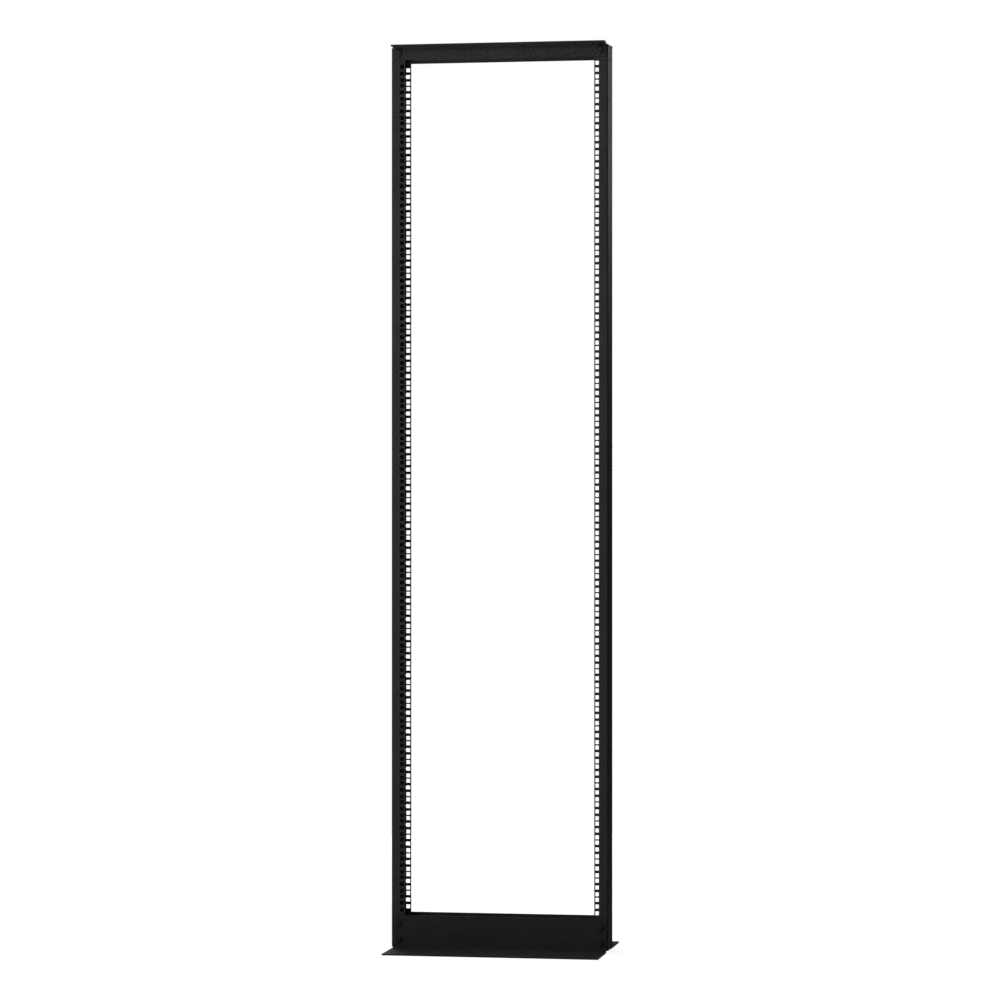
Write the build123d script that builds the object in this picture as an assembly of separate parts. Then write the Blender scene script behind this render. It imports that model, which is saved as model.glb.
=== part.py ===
from build123d import *
import os

# Two post open frame rack, 45 units high, for 19 inch equipment.
# Millimetres. X runs across the rack, Y from front to back and Z up. The origin is on
# the floor, midway between the posts and midway between their front and rear flanges.

# Hole pattern of a 19 inch rack: three square holes in each unit of height. The outboard
# side of the middle one is peaked, which marks the unit.
unit_count = 45
unit_height = 44.45
hole_side = 9.5
hole_inset = 7.125
lowest_hole = 6.35
hole_step = 15.875
peak_depth = 1.5

# Posts: channels of folded sheet, open towards each other
opening_width = 450.85
flange_width = 32.3
post_depth = 76.2
post_sheet = 2.66
bend_inside = 0.9
post_foot_gap = 4.8
post_head_gap = 5.0

# Small cable-manager holes in the web, near the head of each post
web_hole_radius = 3.4
web_hole_rise = 28.6
web_hole_spread = 34.9
web_hole_drop = 148.8

# Base angles, folded from thicker sheet, on the floor in front of and behind the posts
angle_end_gap = 3.725
angle_sheet = 3.42
angle_bend_inside = 3.0
angle_edge = 0.4
base_height = 79.4
base_reach = 133.35

# Top angles, folded from the same sheet
top_height = 34.0
top_reach = 28.6

# Heights of the equipment space within the rack
space_bottom = 86.0
head_room = 42.75

# Bolt holes where the angles are bolted to the flanges
bolt_hole_radius = 5.1
bolt_hole_sides = 12
bolt_inset = 14.275
top_bolt_drop = 19.05
base_bolt_low = 24.1
base_bolt_pitch = 36.5

# Anchor holes in the feet of the base angles
anchor_hole_radius = 5.6
anchor_end = 31.75
anchor_edge = 25.4

# Cable-runway holes in the top angles, in pairs
runway_hole_radius = 5.2
runway_inset = 27.825
runway_pitch = 38.1
runway_edge = 12.7

# Worked out from the sizes above
overall_width = opening_width + 2 * flange_width
space_height = unit_count * unit_height
overall_height = space_bottom + space_height + head_room
post_bottom = post_foot_gap
post_top = overall_height - post_head_gap
bolt_column = opening_width / 2 + bolt_inset
hole_column = opening_width / 2 + hole_inset
angle_length = overall_width - 2 * angle_end_gap
runway_outer = opening_width / 2 - runway_inset


def cylinder_through(radius, x, y, z, direction, length):
    """A round cutter of the given length, centred on a point."""
    plane = Plane(origin=(x, y, z), z_dir=direction)
    return plane * Cylinder(radius, length)


def bolt_cutter(x, y, z, sheet):
    """A cutter for a frame bolt, with a few flat sides around the bolt's clearance."""
    plane = Plane(origin=(x, y, z), z_dir=(0, 1, 0))
    outline = RegularPolygon(bolt_hole_radius, bolt_hole_sides, major_radius=False)
    return extrude(plane * outline, amount=sheet, both=True)


def channel_outline():
    """Section of the right post, with the web outside and the flanges turned inwards."""
    outside = overall_width / 2
    inside = opening_width / 2
    front = post_depth / 2
    web = outside - post_sheet
    points = [
        (inside, -front),
        (outside, -front),
        (outside, front),
        (inside, front),
        (inside, front - post_sheet),
        (web, front - post_sheet),
        (web, -front + post_sheet),
        (inside, -front + post_sheet),
    ]
    outer = bend_inside + post_sheet
    radii = {1: outer, 2: outer, 5: bend_inside, 6: bend_inside}
    face = make_face(Polyline(points, close=True))
    for index, radius in radii.items():
        corner = Vector(*points[index])
        vertex = min(face.vertices(), key=lambda v: (Vector(v.X, v.Y) - corner).length)
        face = fillet(vertex, radius)
    return face


def peaked_hole():
    """Outline of the middle hole of a unit: a square whose outboard side is peaked."""
    half = hole_side / 2
    points = [(-half, -half), (half, -half), (half + peak_depth, 0), (half, half), (-half, half)]
    return make_face(Polyline(points, close=True))


def flange_cutters(y):
    """All square holes of one flange, as prisms through the sheet."""
    cutters = []
    plane = Plane(origin=(hole_column, y, space_bottom), x_dir=(1, 0, 0), z_dir=(0, -1, 0))
    plain_hole = Rectangle(hole_side, hole_side)
    outlines = [plain_hole, peaked_hole(), plain_hole]
    for unit in range(unit_count):
        for row, outline in enumerate(outlines):
            height = unit * unit_height + lowest_hole + row * hole_step
            placed = plane * (Pos(0, height, 0) * outline)
            cutters.append(extrude(placed, amount=post_sheet, both=True))
    return cutters


def bolt_heights():
    """Heights of the bolts through each flange, from the floor up."""
    return [base_bolt_low, base_bolt_low + base_bolt_pitch, overall_height - top_bolt_drop]


def web_cutters():
    """Four small holes through the web near the head of a post."""
    cutters = []
    centre = overall_height - web_hole_drop
    for z in (centre - web_hole_rise / 2, centre + web_hole_rise / 2):
        for y in (-web_hole_spread / 2, web_hole_spread / 2):
            reach = 4 * post_sheet
            hole = cylinder_through(web_hole_radius, overall_width / 2, y, z, (1, 0, 0), reach)
            cutters.append(hole)
    return cutters


def right_post():
    """The folded channel with its rack holes, bolt holes and web holes."""
    length = post_top - post_bottom
    channel = Pos(0, 0, post_bottom) * extrude(channel_outline(), amount=length)
    cutters = web_cutters()
    for y in (-post_depth / 2, post_depth / 2):
        cutters += flange_cutters(y)
        for z in bolt_heights():
            cutters.append(bolt_cutter(bolt_column, y, z, post_sheet))
    return channel - cutters


def angle_section(height, reach, up):
    """Section of a folded angle in Y and Z: heel at the origin, upright leg along +Z or -Z."""
    points = [
        (0, 0),
        (-reach, 0),
        (-reach, up * angle_sheet),
        (-angle_sheet, up * angle_sheet),
        (-angle_sheet, up * height),
        (0, up * height),
    ]
    outer = angle_bend_inside + angle_sheet
    radii = {0: outer, 2: angle_edge, 3: angle_bend_inside, 4: angle_edge}
    face = make_face(Polyline(points, close=True))
    for index, radius in radii.items():
        corner = Vector(*points[index])
        vertex = min(face.vertices(), key=lambda v: (Vector(v.X, v.Y) - corner).length)
        face = fillet(vertex, radius)
    return face


def angle(face, level):
    """A length of angle against the front flanges, with its heel at a given level."""
    plane = Plane(origin=(0, -post_depth / 2, level), x_dir=(0, 1, 0), z_dir=(1, 0, 0))
    return extrude(plane * face, amount=angle_length / 2, both=True)


def base_angle():
    """The front base angle, with two bolt holes at each post and an anchor hole at each end."""
    section = angle_section(base_height, base_reach, 1)
    bolt_y = -post_depth / 2 - angle_sheet / 2
    anchor_y = -post_depth / 2 - base_reach + anchor_edge
    through = 4 * angle_sheet
    cutters = []
    for side in (-1, 1):
        for z in bolt_heights()[:2]:
            cutters.append(bolt_cutter(side * bolt_column, bolt_y, z, angle_sheet))
        x = side * (angle_length / 2 - anchor_end)
        cutters.append(cylinder_through(anchor_hole_radius, x, anchor_y, 0, (0, 0, 1), through))
    return angle(section, 0) - cutters


def top_angle():
    """The front top angle, with a bolt hole at each post and two pairs of runway holes."""
    section = angle_section(top_height, top_reach, -1)
    bolt_y = -post_depth / 2 - angle_sheet / 2
    bolt_z = bolt_heights()[2]
    runway_y = -post_depth / 2 - top_reach + runway_edge
    level = overall_height
    through = 4 * angle_sheet
    cutters = []
    for side in (-1, 1):
        cutters.append(bolt_cutter(side * bolt_column, bolt_y, bolt_z, angle_sheet))
        for distance in (runway_outer - runway_pitch, runway_outer):
            x = side * distance
            hole = cylinder_through(runway_hole_radius, x, runway_y, level, (0, 0, 1), through)
            cutters.append(hole)
    return angle(section, level) - cutters


def main():
    os.makedirs("parts", exist_ok=True)
    right = right_post()
    base_front = base_angle()
    top_front = top_angle()
    parts = {
        "left_post": mirror(right, about=Plane.YZ),
        "right_post": right,
        "base_angle_front": base_front,
        "base_angle_rear": mirror(base_front, about=Plane.XZ),
        "top_angle_front": top_front,
        "top_angle_rear": mirror(top_front, about=Plane.XZ),
    }
    for name, shape in parts.items():
        export_step(shape, f"parts/{name}.step")
    print(len(parts), "pieces written")


main()
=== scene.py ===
# %% [markdown]
# A two post open frame rack is the plainest piece of furniture in a server room: two steel
# channels, a pair of angles to stand on, a pair of angles to tie the heads together, and
# twelve bolts. Everything is coated in the same fine black powder, so the looks come from
# light on edges, from the rows of square holes and from the bolts. The six steel pieces
# arrive finished from the CAD model. This file gives them their coat, adds the bolts, nuts
# and washers, and sets up the light and the camera.

import math

import bmesh
import bpy
from mathutils import Matrix, Vector


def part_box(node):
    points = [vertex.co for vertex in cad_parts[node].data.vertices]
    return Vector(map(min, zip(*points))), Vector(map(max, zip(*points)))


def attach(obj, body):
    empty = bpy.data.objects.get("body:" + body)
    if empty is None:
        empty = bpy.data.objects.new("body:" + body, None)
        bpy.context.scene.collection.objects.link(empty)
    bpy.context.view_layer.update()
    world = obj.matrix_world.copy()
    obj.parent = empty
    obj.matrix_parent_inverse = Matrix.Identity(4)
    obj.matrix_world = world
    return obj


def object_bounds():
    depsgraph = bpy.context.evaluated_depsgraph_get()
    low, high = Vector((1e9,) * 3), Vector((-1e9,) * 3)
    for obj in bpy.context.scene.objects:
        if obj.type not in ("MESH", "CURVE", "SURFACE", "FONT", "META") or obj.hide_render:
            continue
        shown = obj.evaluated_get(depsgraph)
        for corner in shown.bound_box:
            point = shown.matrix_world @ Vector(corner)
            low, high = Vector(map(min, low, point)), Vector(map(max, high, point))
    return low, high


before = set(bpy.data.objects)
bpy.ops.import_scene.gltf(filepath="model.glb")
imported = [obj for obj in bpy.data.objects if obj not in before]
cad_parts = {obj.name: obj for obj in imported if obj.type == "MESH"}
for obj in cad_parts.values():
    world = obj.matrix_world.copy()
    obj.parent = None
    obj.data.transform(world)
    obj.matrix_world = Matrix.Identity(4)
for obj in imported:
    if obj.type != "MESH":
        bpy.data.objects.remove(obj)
CAD_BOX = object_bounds()
scene = bpy.context.scene
scene.view_settings.view_transform = "Standard"
print("pieces in the frame:", ", ".join(sorted(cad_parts)))

# %% [markdown]
# Blender works in metres, and small hardware is easier to read in millimetres, so one name
# holds a millimetre. The height of the rack and the faces of the flanges are read from the
# boxes of the pieces, so that nothing has to be typed twice.

# %% Sizes read from the pieces
MM = 0.001

RACK_HEIGHT = CAD_BOX[1][2]
FLANGE_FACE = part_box("right_post")[1].y
print(f"rack height {RACK_HEIGHT:.4f} m, flange faces at {FLANGE_FACE:.4f} m either side")

# %% [markdown]
# The photograph was taken from far away with a long lens, a little to the right of the
# rack and at half its height, which keeps its upright edges parallel. The rows of square
# holes are a ruler: their spacing is a standard, so the spot from which they look as they
# do can be worked out. The lens, the spot and the heading below come from such a fit.

# %% Camera
CAMERA_SPOT = Vector((1.5106, -8.6688, 1.0539))
CAMERA_HEADING = math.radians(9.915)
CAMERA_TILT = math.radians(0.028)
LENS_MM = 134.39
SENSOR_MM = 36.0
SIGHT_RANGE = 100.0


def add_camera():
    data = bpy.data.cameras.new("camera")
    data.lens = LENS_MM
    data.sensor_width = SENSOR_MM
    data.clip_end = SIGHT_RANGE
    camera = bpy.data.objects.new("camera", data)
    camera.location = CAMERA_SPOT
    camera.rotation_euler = (math.pi / 2 + CAMERA_TILT, 0, CAMERA_HEADING)
    scene.collection.objects.link(camera)
    scene.camera = camera


add_camera()
print("camera", f"{CAMERA_SPOT.length:.2f} m from the foot of the rack")

# %% [markdown]
# Small shader trees read best when each node is made by one short call. The first helper
# takes the node's type, its inputs and its settings, and links whatever input is a socket.
# The second does the same for one sum.

# %% Helpers for shader nodes


def add_node(tree, kind, inputs=None, **settings):
    node = tree.nodes.new(kind)
    for name, value in settings.items():
        setattr(node, name, value)
    for name, value in (inputs or {}).items():
        if isinstance(value, bpy.types.NodeSocket):
            tree.links.new(value, node.inputs[name])
        else:
            node.inputs[name].default_value = value
    return node


def maths(tree, operation, first, second, clamp=False):
    node = add_node(
        tree, "ShaderNodeMath", {0: first, 1: second},
        operation=operation, use_clamp=clamp,
    )
    return node.outputs["Value"]


# %% [markdown]
# The rack stands in a studio whose walls are dim. A matt black coat scatters little light,
# and a face seen at a low angle shows a dull reflection of the room instead. In the
# photograph the outer face of the right post is near black from the middle down, so the
# room is dark on that side. The world gives a faint light all round, a little cool, and
# somewhat stronger from the front. Camera and transmission rays find plain white there
# instead. Glossy rays see the same dim room as all the others: if they found white, that
# outer face would turn into a pale mirror.

# %% World
FILL_ALL_ROUND = 0.075
FILL_FRONT = 0.04
FILL_COLOUR = (0.95, 0.985, 1.10, 1)
WHITE = (1, 1, 1, 1)


def clear_rays(tree):
    """One for camera and transmission rays, which are to see plain white, and else zero."""
    ray = add_node(tree, "ShaderNodeLightPath")
    return maths(tree, "MAXIMUM", ray.outputs["Is Camera Ray"], ray.outputs["Is Transmission Ray"])


def add_world():
    world = bpy.data.worlds.new("dim studio")
    scene.world = world
    world.use_nodes = True
    tree = world.node_tree
    tree.nodes.clear()
    direction = add_node(tree, "ShaderNodeTexCoord")
    axes = add_node(tree, "ShaderNodeSeparateXYZ", {"Vector": direction.outputs["Generated"]})
    towards_front = maths(tree, "MULTIPLY", axes.outputs["Y"], -FILL_FRONT)
    fill = maths(tree, "ADD", maths(tree, "MAXIMUM", towards_front, 0.0), FILL_ALL_ROUND)
    studio = add_node(tree, "ShaderNodeBackground", {"Color": FILL_COLOUR, "Strength": fill})
    backdrop = add_node(tree, "ShaderNodeBackground", {"Color": WHITE, "Strength": 1.0})
    either = add_node(
        tree, "ShaderNodeMixShader",
        {0: clear_rays(tree), 1: studio.outputs["Background"], 2: backdrop.outputs["Background"]},
    )
    add_node(tree, "ShaderNodeOutputWorld", {"Surface": either.outputs["Shader"]})


add_world()
print("the world gives", FILL_ALL_ROUND, "all round and", FILL_FRONT, "more from the front")

# %% [markdown]
# Five soft boxes light the rack. The large key box hangs in front of it, up and to the left.
# It throws the small dark crescent to the right of each bolt head, and the long soft shade
# of the ledge at the top. The low box lies on the floor in front, aimed up at the head, and
# reaches what the key box can't: the undersides of the ledges. The head box hangs behind
# the head of the right post, whose outer face catches it at a low angle: that face is light
# at the top and fades to near black. The top box hangs straight above and lights the feet
# without touching the faces in front of them. The rear box lights the back of the rack. A
# box with a spread under half a turn shines mainly straight ahead, as one with a honeycomb
# grid does.

# %% Lamps
KEY_BOX = {"spot": (-2.2, -4.2, 3.3), "target": (0, 0, 1.4), "size": 3.3, "spread": 100}
LOW_BOX = {"spot": (-0.4, -1.3, 0.1), "target": (0, 0, 2.1), "size": 0.9, "spread": 50}
HEAD_BOX = {"spot": (0.86, 2.1, 2.4), "target": (0.26, 0, 2.1), "size": 1.3, "spread": 100}
TOP_BOX = {"spot": (-0.5, 0.5, 4.4), "target": (0, -0.1, 0), "size": 1.8, "spread": 180}
REAR_BOX = {"spot": (-1.6, 3.4, 1.9), "target": (0, 0, 1.1), "size": 1.8, "spread": 180}
KEY_WATTS = 39.0
LOW_WATTS = 1.9
HEAD_WATTS = 2.5
TOP_WATTS = 60.0
REAR_WATTS = 24.0


def add_softbox(name, box, watts):
    data = bpy.data.lights.new(name, "AREA")
    data.shape = "DISK"
    data.size = box["size"]
    data.energy = watts
    data.spread = math.radians(box["spread"])
    lamp = bpy.data.objects.new(name, data)
    spot = Vector(box["spot"])
    lamp.location = spot
    lamp.rotation_mode = "QUATERNION"
    lamp.rotation_quaternion = (Vector(box["target"]) - spot).to_track_quat("-Z", "Y")
    scene.collection.objects.link(lamp)


add_softbox("key box", KEY_BOX, KEY_WATTS)
add_softbox("low box", LOW_BOX, LOW_WATTS)
add_softbox("head box", HEAD_BOX, HEAD_WATTS)
add_softbox("top box", TOP_BOX, TOP_WATTS)
add_softbox("rear box", REAR_BOX, REAR_WATTS)
print("soft boxes:", len(bpy.data.lights))

# %% [markdown]
# The floor is a plain pale disc, wide enough for the rack's own shadow. To the camera it
# fades into the white background and still keeps the soft shadow of the feet, so one part
# of its brightness is its own glow and the rest is light that it scatters, which the rack
# can shade. For all other rays it has a bright pool in front of the rack, to the left,
# where a studio's lamps would light it most. The pool lights the lower halves of the
# flanges from below, and it fades out before the outer face of the right post could mirror
# it.

# %% Floor
FLOOR_RADIUS = 3.0
FLOOR_SIDES = 96
FLOOR_COLOUR = (0.28, 0.28, 0.28, 1)
FLOOR_GLOW = 0.88
RACK_FOOT = (0.0, 0.0, 0.0)
SHADE_RADIUS = 0.6
POOL_LIGHT = 1.35
POOL_CENTRE = (-0.6, -1.8, 0.0)
POOL_RADIUS = 2.4


def fade(tree, centre, start, end, first, last):
    """A value that goes softly from first to last between two distances from a centre."""
    place = add_node(tree, "ShaderNodeTexCoord")
    apart = add_node(
        tree, "ShaderNodeVectorMath", {0: place.outputs["Object"], 1: centre},
        operation="DISTANCE",
    )
    limits = {"From Min": start, "From Max": end, "To Min": first, "To Max": last}
    ramp = add_node(
        tree, "ShaderNodeMapRange", {"Value": apart.outputs["Value"], **limits},
        interpolation_type="SMOOTHSTEP",
    )
    return ramp.outputs["Result"]


def floor_material():
    material = bpy.data.materials.new("pale floor")
    material.use_nodes = True
    tree = material.node_tree
    tree.nodes.clear()
    pool = fade(tree, POOL_CENTRE, POOL_RADIUS, 0.0, 0.0, POOL_LIGHT)
    seen = fade(tree, RACK_FOOT, SHADE_RADIUS, FLOOR_RADIUS, FLOOR_GLOW, 1.0)
    level = add_node(tree, "ShaderNodeMix", {"Factor": clear_rays(tree), "A": pool, "B": seen})
    scatter = add_node(tree, "ShaderNodeBsdfDiffuse", {"Color": FLOOR_COLOUR})
    glow = add_node(
        tree, "ShaderNodeEmission",
        {"Color": WHITE, "Strength": level.outputs["Result"]},
    )
    both = add_node(
        tree, "ShaderNodeAddShader",
        {0: scatter.outputs["BSDF"], 1: glow.outputs["Emission"]},
    )
    add_node(tree, "ShaderNodeOutputMaterial", {"Surface": both.outputs["Shader"]})
    return material


def add_floor():
    mesh = bmesh.new()
    bmesh.ops.create_circle(mesh, cap_ends=True, segments=FLOOR_SIDES, radius=FLOOR_RADIUS)
    data = bpy.data.meshes.new("floor")
    mesh.to_mesh(data)
    mesh.free()
    data.materials.append(floor_material())
    floor = bpy.data.objects.new("floor", data)
    scene.collection.objects.link(floor)


add_floor()
print(f"floor {2 * FLOOR_RADIUS:.0f} m across")

# %% [markdown]
# Powder coat is a dry paint, melted on in an oven. The textured kind is matt and has a
# grain like sandpaper, which breaks up any highlight. Seen from further off it has fine
# specks, and its tone wanders a little from place to place. All of this belongs to every
# coated piece, so it is built once, as a group with named inputs and outputs. Scales are in
# turns a metre.

# %% The powder-coat group
CLOUD_SCALE = 14.0
SPECK_SCALE = 420.0
FINE_DETAIL = 3.0
SPECK_DETAIL = 2.0
NOISE_MIDDLE = 0.5
COAT_INPUTS = [
    ("Colour", "NodeSocketColor", (0.02, 0.02, 0.02, 1)),
    ("Cloud Change", "NodeSocketFloat", 0.2),
    ("Speck Change", "NodeSocketFloat", 0.2),
    ("Roughness", "NodeSocketFloat", 0.5),
    ("Roughness Change", "NodeSocketFloat", 0.08),
    ("Grain Scale", "NodeSocketFloat", 900.0),
]
COAT_OUTPUTS = [
    ("Colour", "NodeSocketColor"),
    ("Roughness", "NodeSocketFloat"),
    ("Height", "NodeSocketFloat"),
]


def new_group(name, inputs, outputs):
    group = bpy.data.node_groups.new(name, "ShaderNodeTree")
    for label, kind, value in inputs:
        socket = group.interface.new_socket(label, in_out="INPUT", socket_type=kind)
        socket.default_value = value
    for label, kind in outputs:
        group.interface.new_socket(label, in_out="OUTPUT", socket_type=kind)
    entry = group.nodes.new("NodeGroupInput")
    result = group.nodes.new("NodeGroupOutput")
    return group, entry.outputs, result


def noise(tree, where, scale, detail):
    settings = {"Vector": where, "Scale": scale, "Detail": detail}
    return add_node(tree, "ShaderNodeTexNoise", settings).outputs["Fac"]


def make_coat_group():
    """Colour, roughness and height of the coat, from a place on the piece and its look."""
    group, given, result = new_group("powder coat", COAT_INPUTS, COAT_OUTPUTS)
    where = add_node(group, "ShaderNodeTexCoord").outputs["Object"]
    cloud = noise(group, where, CLOUD_SCALE, FINE_DETAIL)
    speck = noise(group, where, SPECK_SCALE, SPECK_DETAIL)
    cloud_swing = maths(group, "SUBTRACT", cloud, NOISE_MIDDLE)
    speck_swing = maths(group, "SUBTRACT", speck, NOISE_MIDDLE)
    cloud_tone = maths(group, "MULTIPLY", cloud_swing, given["Cloud Change"])
    speck_tone = maths(group, "MULTIPLY", speck_swing, given["Speck Change"])
    tone = maths(group, "ADD", maths(group, "ADD", cloud_tone, speck_tone), 1.0)
    colour = add_node(
        group, "ShaderNodeVectorMath", {0: given["Colour"], "Scale": tone},
        operation="SCALE",
    )
    rough_swing = maths(group, "MULTIPLY", cloud_swing, given["Roughness Change"])
    rough = maths(group, "ADD", given["Roughness"], rough_swing, clamp=True)
    grain = noise(group, where, given["Grain Scale"], FINE_DETAIL)
    group.links.new(colour.outputs["Vector"], result.inputs["Colour"])
    group.links.new(rough, result.inputs["Roughness"])
    group.links.new(grain, result.inputs["Height"])
    return group


COAT_GROUP = make_coat_group()
print("the coat group has", len(COAT_GROUP.nodes), "nodes")

# %% [markdown]
# A coated piece takes its colour, roughness and grain from the group. The gloss of the dry
# paint is the same all over, so it is a plain value on the shader. The bolts are taken as
# blackened and not coated, so they are smoother and darker than the steel round them. In
# the photograph the base angle is a shade darker than the flanges just above it. Its coat
# and its light can't be told apart there, so here the base angles simply get a darker tone
# than the posts and the top angles.

# %% Coated steel
STEEL_TONE = (0.030, 0.030, 0.0304, 1)
BASE_TONE = (0.0245, 0.0245, 0.0251, 1)
BOLT_TONE = (0.015, 0.015, 0.0154, 1)
STEEL_LOOK = {"clouds": 0.5, "specks": 2.3, "rough": 0.6, "gloss": 0.06}
BASE_LOOK = {"clouds": 0.5, "specks": 1.1, "rough": 0.6, "gloss": 0.06}
BOLT_LOOK = {"clouds": 0.2, "specks": 0.3, "rough": 0.5, "gloss": 0.12}
POST_GRAIN = {"width": 2.6 * MM, "depth": 0.6 * MM}
ANGLE_GRAIN = {"width": 2.8 * MM, "depth": 0.6 * MM}
BOLT_GRAIN = {"width": 1.6 * MM, "depth": 0.03 * MM}


def coated(name, tone, look, grain):
    material = bpy.data.materials.new(name)
    material.use_nodes = True
    tree = material.node_tree
    shader = tree.nodes["Principled BSDF"]
    coat = add_node(tree, "ShaderNodeGroup", node_tree=COAT_GROUP)
    coat.inputs["Colour"].default_value = tone
    coat.inputs["Cloud Change"].default_value = look["clouds"]
    coat.inputs["Speck Change"].default_value = look["specks"]
    coat.inputs["Roughness"].default_value = look["rough"]
    coat.inputs["Grain Scale"].default_value = 1 / grain["width"]
    bump = add_node(
        tree, "ShaderNodeBump",
        {"Height": coat.outputs["Height"], "Distance": grain["depth"]},
    )
    tree.links.new(coat.outputs["Colour"], shader.inputs["Base Color"])
    tree.links.new(coat.outputs["Roughness"], shader.inputs["Roughness"])
    tree.links.new(bump.outputs["Normal"], shader.inputs["Normal"])
    shader.inputs["Specular IOR Level"].default_value = look["gloss"]
    return material


POST_COAT = coated("black coat on posts", STEEL_TONE, STEEL_LOOK, POST_GRAIN)
HEAD_COAT = coated("black coat on top angles", STEEL_TONE, STEEL_LOOK, ANGLE_GRAIN)
BASE_COAT = coated("black coat on base angles", BASE_TONE, BASE_LOOK, ANGLE_GRAIN)
BOLT_COAT = coated("black bolts", BOLT_TONE, BOLT_LOOK, BOLT_GRAIN)


def dress(node, material):
    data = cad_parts[node].data
    data.materials.clear()
    data.materials.append(material)


for name in ("left_post", "right_post"):
    dress(name, POST_COAT)
for name in ("top_angle_front", "top_angle_rear"):
    dress(name, HEAD_COAT)
for name in ("base_angle_front", "base_angle_rear"):
    dress(name, BASE_COAT)
print("coated", len(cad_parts), "steel pieces")

# %% [markdown]
# The bolts are 3/8 inch hex screws. A forged head is a hexagon whose corners are turned
# off by a shallow cone, which leaves an arc on each side. The simplest way to that shape
# is the real one: spin the outline of a turned blank, then cut six flats off it. The same
# two steps make the nut, with a bore and a cone at both ends.

# %% Blanks and flats
BOLT_RADIUS = 4.76 * MM
ACROSS_FLATS = 14.0 * MM
CORNER_RADIUS = ACROSS_FLATS / math.sqrt(3)
CROWN_RADIUS = 0.475 * ACROSS_FLATS
CONE_SLOPE = math.radians(30)
CONE_DROP = (CORNER_RADIUS - CROWN_RADIUS) * math.tan(CONE_SLOPE)
FLATS = 6
HEAD_HEIGHT = 5.8 * MM
WASHER_FACE = 0.4 * MM
NUT_HEIGHT = 8.2 * MM
NUT_BORE = BOLT_RADIUS - 0.3 * MM
SPIN_STEPS = 48
WELD = 0.001 * MM


def spin_outline(mesh, outline, closed):
    """Adds the surface that points of radius and height sweep round Z."""
    corners = [mesh.verts.new((radius, 0, height)) for radius, height in outline]
    edges = [mesh.edges.new(pair) for pair in zip(corners, corners[1:])]
    if closed:
        edges.append(mesh.edges.new((corners[-1], corners[0])))
    bmesh.ops.spin(
        mesh, geom=corners + edges, cent=(0, 0, 0), axis=(0, 0, 1), angle=math.tau,
        steps=SPIN_STEPS, use_merge=True,
    )
    bmesh.ops.remove_doubles(mesh, verts=mesh.verts, dist=WELD)
    bmesh.ops.recalc_face_normals(mesh, faces=mesh.faces)


def cut_flats(mesh):
    """Cuts the flats of a hexagon off a turned blank."""
    for side in range(FLATS):
        turn = side * math.tau / FLATS
        outward = Vector((math.cos(turn), math.sin(turn), 0))
        cut = bmesh.ops.bisect_plane(
            mesh, geom=mesh.verts[:] + mesh.edges[:] + mesh.faces[:], dist=WELD / 10,
            plane_co=outward * ACROSS_FLATS / 2, plane_no=outward, clear_outer=True,
        )
        rim = [item for item in cut["geom_cut"] if isinstance(item, bmesh.types.BMEdge)]
        bmesh.ops.edgeloop_fill(mesh, edges=rim)


def head_mesh():
    mesh = bmesh.new()
    outline = [
        (0, 0),
        (CROWN_RADIUS, 0),
        (CROWN_RADIUS, WASHER_FACE),
        (CORNER_RADIUS, WASHER_FACE),
        (CORNER_RADIUS, HEAD_HEIGHT - CONE_DROP),
        (CROWN_RADIUS, HEAD_HEIGHT),
        (0, HEAD_HEIGHT),
    ]
    spin_outline(mesh, outline, closed=False)
    cut_flats(mesh)
    return mesh


def nut_mesh():
    mesh = bmesh.new()
    outline = [
        (NUT_BORE, 0),
        (CROWN_RADIUS, 0),
        (CORNER_RADIUS, CONE_DROP),
        (CORNER_RADIUS, NUT_HEIGHT - CONE_DROP),
        (CROWN_RADIUS, NUT_HEIGHT),
        (NUT_BORE, NUT_HEIGHT),
    ]
    spin_outline(mesh, outline, closed=True)
    cut_flats(mesh)
    return mesh


sample = head_mesh()
over_corners = 2 * CORNER_RADIUS / MM
print(f"a bolt head has {len(sample.faces)} faces and measures {over_corners:.1f} mm over corners")
sample.free()

# %% [markdown]
# A screw thread is one ridge that climbs round a core. Spinning the ridge's section while
# each step also shifts it along the axis gives the helix. The section is a closed ring of
# four points, a trapezium with its narrow side outwards, so the result is a solid ridge
# once its two ends are filled. A split washer is the same move with a square section and
# a little less than one turn.

# %% Screwed shapes
THREAD_PITCH = 1.5875 * MM
THREAD_STEPS = 32
CORE_RADIUS = BOLT_RADIUS - 0.61 * THREAD_PITCH
RIDGE_FOOT = 0.80 * THREAD_PITCH
RIDGE_CREST = 0.14 * THREAD_PITCH
RIDGE_SINK = 0.1 * MM
POINT_CHAMFER = 0.5 * MM
SPLIT_TURN = math.radians(350)
SPLIT_STEPS = 50
SPLIT_CLIMB = 0.25 * MM
WASHER_EDGE = 0.2 * MM


def spin_screw(mesh, section, angle, steps, climb):
    """Spins a closed section round Z, climbing in all by climb, and fills both ends."""
    corners = [mesh.verts.new((radius, 0, height)) for radius, height in section]
    edges = [mesh.edges.new(pair) for pair in zip(corners, corners[1:] + corners[:1])]
    spun = bmesh.ops.spin(
        mesh, geom=corners + edges, cent=(0, 0, 0), axis=(0, 0, 1), angle=angle,
        steps=steps, dvec=(0, 0, climb / steps),
    )
    last = [item for item in spun["geom_last"] if isinstance(item, bmesh.types.BMEdge)]
    bmesh.ops.edgeloop_fill(mesh, edges=edges)
    bmesh.ops.edgeloop_fill(mesh, edges=last)
    bmesh.ops.recalc_face_normals(mesh, faces=mesh.faces)


def join_into(mesh, other):
    """Adds another bmesh to this one, as loose parts of one piece, and frees it."""
    holder = bpy.data.meshes.new("holder")
    other.to_mesh(holder)
    mesh.from_mesh(holder)
    bpy.data.meshes.remove(holder)
    other.free()


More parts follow.
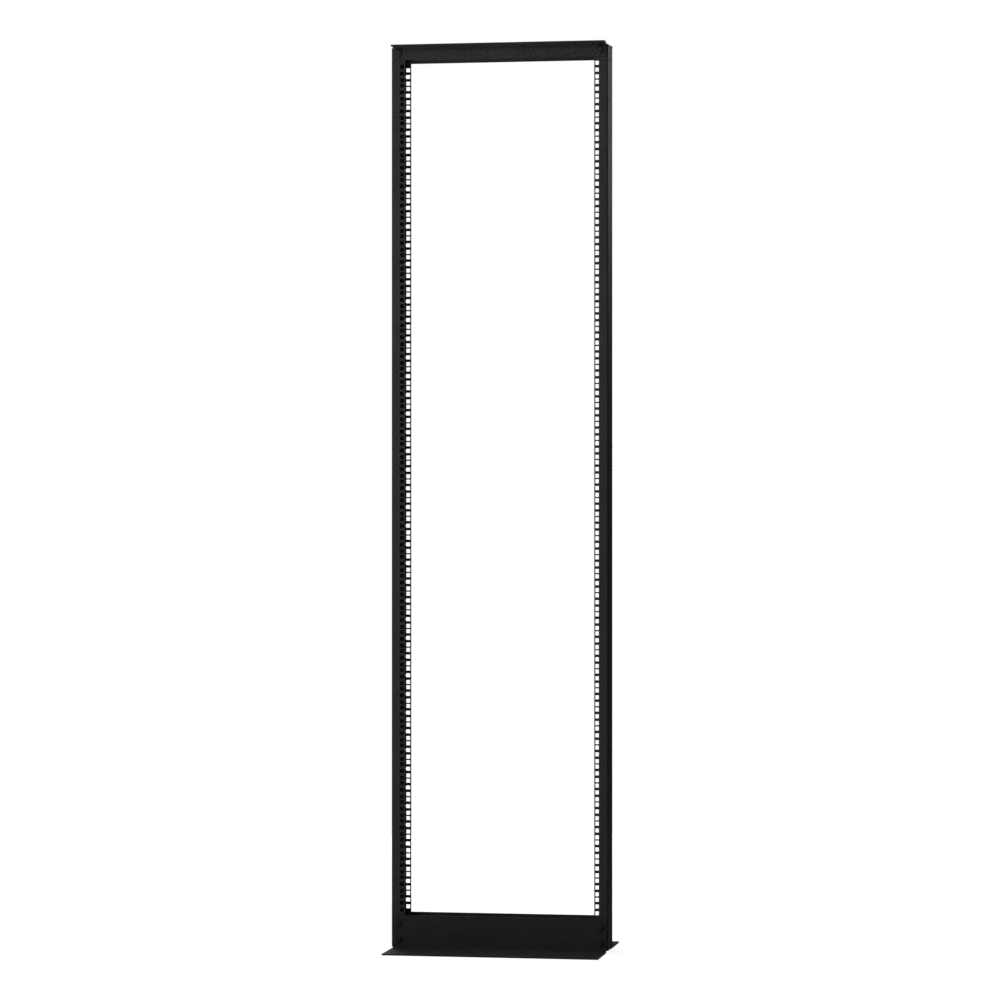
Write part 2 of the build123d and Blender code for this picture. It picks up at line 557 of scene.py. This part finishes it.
def shank_mesh(length, threaded):
    """The bolt below its head: a plain neck, then the core of the thread and its point."""
    mesh = bmesh.new()
    outline = [
        (0, 0),
        (BOLT_RADIUS, 0),
        (BOLT_RADIUS, threaded - length),
        (CORE_RADIUS, threaded - length),
        (CORE_RADIUS, POINT_CHAMFER - length),
        (CORE_RADIUS - POINT_CHAMFER, -length),
        (0, -length),
    ]
    spin_outline(mesh, outline, closed=False)
    return mesh


def thread_mesh(length, threaded):
    """The ridge, from just above the point up to the plain neck."""
    mesh = bmesh.new()
    foot = CORE_RADIUS - RIDGE_SINK
    start = POINT_CHAMFER + RIDGE_FOOT / 2 - length
    ridge = [
        (foot, start - RIDGE_FOOT / 2),
        (BOLT_RADIUS, start - RIDGE_CREST / 2),
        (BOLT_RADIUS, start + RIDGE_CREST / 2),
        (foot, start + RIDGE_FOOT / 2),
    ]
    turns = (threaded - RIDGE_FOOT - POINT_CHAMFER) / THREAD_PITCH
    steps = round(THREAD_STEPS * turns)
    spin_screw(mesh, ridge, turns * math.tau, steps, turns * THREAD_PITCH)
    return mesh


def bolt_mesh(length, threaded):
    mesh = head_mesh()
    join_into(mesh, shank_mesh(length, threaded))
    join_into(mesh, thread_mesh(length, threaded))
    return mesh


def flat_washer_mesh(bore, rim, height):
    mesh = bmesh.new()
    outline = [
        (bore, 0),
        (rim - WASHER_EDGE, 0),
        (rim, WASHER_EDGE),
        (rim, height - WASHER_EDGE),
        (rim - WASHER_EDGE, height),
        (bore, height),
    ]
    spin_outline(mesh, outline, closed=True)
    return mesh


def split_washer_mesh(bore, rim, height):
    mesh = bmesh.new()
    section = [(bore, 0), (rim, 0), (rim, height), (bore, height)]
    spin_screw(mesh, section, SPLIT_TURN, SPLIT_STEPS, SPLIT_CLIMB)
    return mesh


print(f"the thread rises {THREAD_PITCH / MM:.2f} mm a turn, in {THREAD_STEPS} steps")

# %% [markdown]
# One bolt goes through each flange at the head, and two through each flange at the foot.
# Its head bears on the angle, and its washers and nut sit inside the channel. The six heads
# that show in the photograph look a little taller than wide, so all twelve are turned with
# a corner up. Nobody lines up nuts, so each nut is turned by its own amount, which comes
# from its number and stays the same on every run.

# %% Bolts, washers and nuts
ANGLE_SHEET = 3.42 * MM
POST_SHEET = 2.66 * MM
BOLT_COLUMN = 239.7 * MM
BOLT_LOW = 24.1 * MM
BOLT_PITCH = 36.5 * MM
BOLT_DROP = 19.05 * MM
FLAT_WASHER = {"bore": 5.2 * MM, "rim": 10.3 * MM, "height": 1.6 * MM}
SPLIT_WASHER = {"bore": 5.0 * MM, "rim": 8.6 * MM, "height": 2.15 * MM}
THREAD_SHOWING = 2.4 * MM
WASHER_STACK = FLAT_WASHER["height"] + SPLIT_WASHER["height"] + SPLIT_CLIMB
BOLT_LENGTH = ANGLE_SHEET + POST_SHEET + WASHER_STACK + NUT_HEIGHT + THREAD_SHOWING
THREADED_LENGTH = 15 * MM
CORNER_UP = math.radians(30)
NUT_TURN = math.radians(39)
SHARP_ANGLE = math.radians(30)


def add_piece(name, mesh, place):
    """Puts a finished bmesh into the scene as a piece whose object sits at the origin."""
    bmesh.ops.transform(mesh, matrix=place, verts=mesh.verts)
    data = bpy.data.meshes.new(name)
    mesh.to_mesh(data)
    mesh.free()
    data.materials.append(BOLT_COAT)
    data.polygons.foreach_set("use_smooth", [True] * len(data.polygons))
    data.set_sharp_from_angle(angle=SHARP_ANGLE)
    piece = bpy.data.objects.new(name, data)
    scene.collection.objects.link(piece)
    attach(piece, "root")


def fasten(label, spot_x, spot_z, facing, number):
    """One bolt with its washers and nut, head outwards, through angle and flange."""
    upright = Vector((0, facing, 0)).to_track_quat("Z", "X").to_matrix().to_4x4()
    head_turn = Matrix.Rotation(CORNER_UP, 4, "Z")
    nut_turn = Matrix.Rotation(number * NUT_TURN, 4, "Z")

    def at(depth, turn):
        return Matrix.Translation((spot_x, facing * depth, spot_z)) @ upright @ turn

    depth = FLANGE_FACE + ANGLE_SHEET
    add_piece(f"bolt_{label}", bolt_mesh(BOLT_LENGTH, THREADED_LENGTH), at(depth, head_turn))
    depth = FLANGE_FACE - POST_SHEET - FLAT_WASHER["height"]
    add_piece(f"flat_washer_{label}", flat_washer_mesh(**FLAT_WASHER), at(depth, nut_turn))
    depth -= SPLIT_WASHER["height"] + SPLIT_CLIMB
    add_piece(f"split_washer_{label}", split_washer_mesh(**SPLIT_WASHER), at(depth, nut_turn))
    depth -= NUT_HEIGHT
    add_piece(f"nut_{label}", nut_mesh(), at(depth, nut_turn))


BOLT_HEIGHTS = {"low": BOLT_LOW, "high": BOLT_LOW + BOLT_PITCH, "head": RACK_HEIGHT - BOLT_DROP}
number = 0
for side, side_x in (("left", -BOLT_COLUMN), ("right", BOLT_COLUMN)):
    for face, facing in (("front", -1), ("rear", 1)):
        for level, height in BOLT_HEIGHTS.items():
            number += 1
            fasten(f"{side}_{face}_{level}", side_x, height, facing, number)
print("bolts fitted:", number)
